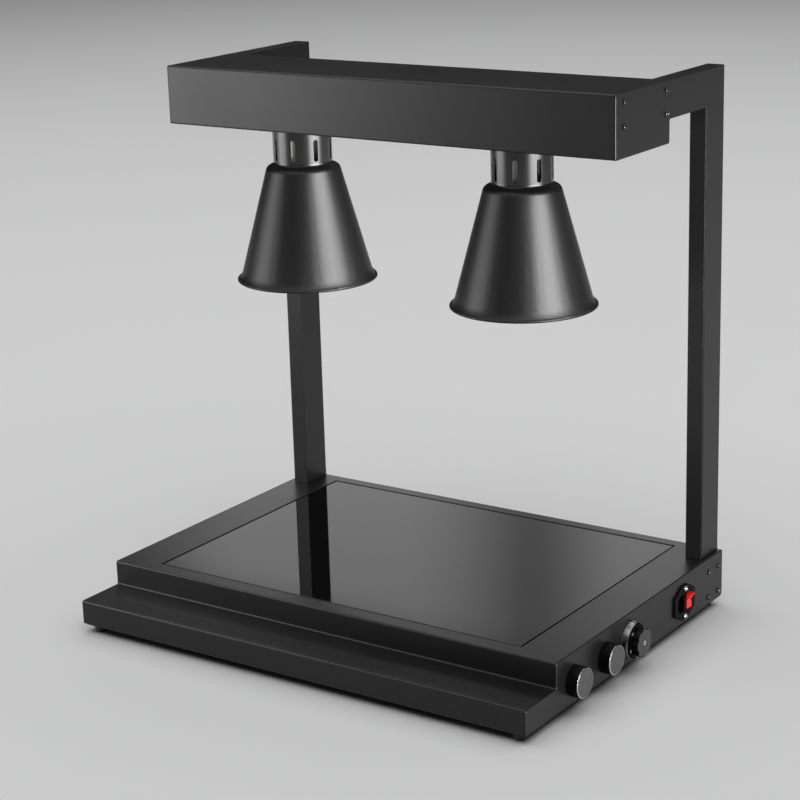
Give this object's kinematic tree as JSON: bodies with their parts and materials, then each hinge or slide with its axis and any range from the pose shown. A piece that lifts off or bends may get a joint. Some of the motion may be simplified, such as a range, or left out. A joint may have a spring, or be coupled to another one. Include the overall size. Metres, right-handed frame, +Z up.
{
  "type": "buffet food warmer",
  "caption": "Free-standing buffet food warmer: a heated black glass plate in a stepped sheet base, rear posts with a header above, and heat lamps in conical shades.",
  "frame": {"origin": "middle of the whole part's footprint, on the counter top under the feet", "axes": "+Z up, +Y from the front ledge to the posts, +X towards the side with the controls"},
  "size_m": [0.7446, 0.541, 0.7615],
  "materials": {
    "black_coat": "satin black powder coat with a fine grain",
    "shade_black": "satin black coat, finely grained, glossier neck",
    "black_glass": "opaque black glass, polished",
    "black_rubber": "matt black rubber",
    "bright_steel": "bright zinc plated steel",
    "spreader_aluminium": "bare rolled aluminium",
    "fibre_mat": "off-white ceramic fibre board",
    "ceramic_white": "glazed white ceramic",
    "bulb_glass": "frosted bulb glass",
    "black_plastic": "moulded black plastic",
    "knob_aluminium": "spun aluminium cap with a bright turned rim",
    "bezel_chrome": "polished chrome",
    "contact_brass": "plated brass blades",
    "rocker_red": "glossy red plastic",
    "block_plastic": "pale moulded plastic",
    "lead_sheath": "black lead sheath"
  },
  "bodies": {
    "warmer": {"arm_left": "black_coat", "arm_right": "black_coat", "base_screws": "bright_steel", "base_shell": "black_coat", "base_terminal_block": "block_plastic", "bottom_cover": "black_coat", "bulb_cap_left": "bright_steel", "bulb_cap_right": "bright_steel", "bulb_left": "bulb_glass", "bulb_right": "bulb_glass", "dimmer_body_front": "black_plastic", "dimmer_body_rear": "black_plastic", "dimmer_nuts": "bright_steel", "feet": "black_rubber", "frame_plate_left": "black_coat", "frame_plate_right": "black_coat", "glass_plate": "black_glass", "glass_seal": "black_rubber", "header_cover": "black_coat", "header_screws": "bright_steel", "header_shell": "black_coat", "header_terminal_block": "block_plastic", "heat_spreader": "spreader_aluminium", "heater_tray": "bright_steel", "heating_element": "bright_steel", "inlet_housing": "black_plastic", "inlet_pins": "contact_brass", "inlet_screws": "bright_steel", "insulation_mat": "fibre_mat", "lamp_holder_left": "ceramic_white", "lamp_holder_right": "ceramic_white", "lamp_leads": "lead_sheath", "lamp_nipple_left": "bright_steel", "lamp_nipple_right": "bright_steel", "lamp_nuts": "bright_steel", "lamp_shade_left": "shade_black", "lamp_shade_right": "shade_black", "post_left": "black_coat", "post_packer_left": "bright_steel", "post_packer_right": "bright_steel", "post_right": "black_coat", "post_screws": "bright_steel", "side_plate_left": "black_coat", "side_plate_right": "black_coat", "supply_lead": "lead_sheath", "thermostat_bezel": "bezel_chrome", "thermostat_body": "black_plastic", "thermostat_screws": "bright_steel", "thermostat_sensor": "bright_steel", "tray_pillars": "bright_steel"},
    "dimmer_front": {"dimmer_shaft_front": "bright_steel", "dimmer_knob_front": "black_plastic", "dimmer_cap_front": "knob_aluminium"},
    "dimmer_rear": {"dimmer_shaft_rear": "bright_steel", "dimmer_knob_rear": "black_plastic", "dimmer_cap_rear": "knob_aluminium"},
    "thermostat": {"thermostat_shaft": "bright_steel", "thermostat_dial": "black_plastic", "thermostat_grip": "black_plastic"},
    "switch": {"rocker": "rocker_red"}
  },
  "joints": [
    {"name": "dimmer_front_turn", "type": "hinge", "parent": "warmer", "child": "dimmer_front", "pos_m": [0.3501, -0.1545, 0.0435], "axis": [-1, 0, 0], "range_deg": [0, 270]},
    {"name": "dimmer_rear_turn", "type": "hinge", "parent": "warmer", "child": "dimmer_rear", "pos_m": [0.3501, -0.0712, 0.0435], "axis": [-1, 0, 0], "range_deg": [0, 270]},
    {"name": "thermostat_turn", "type": "hinge", "parent": "warmer", "child": "thermostat", "pos_m": [0.3501, -0.004, 0.0435], "axis": [-1, 0, 0], "range_deg": [0, 304]},
    {"name": "switch_rock", "type": "hinge", "parent": "warmer", "child": "switch", "pos_m": [0.3511, 0.1615, 0.0435], "axis": [0, -1, 0], "range_deg": [0, 28]}
  ]
}
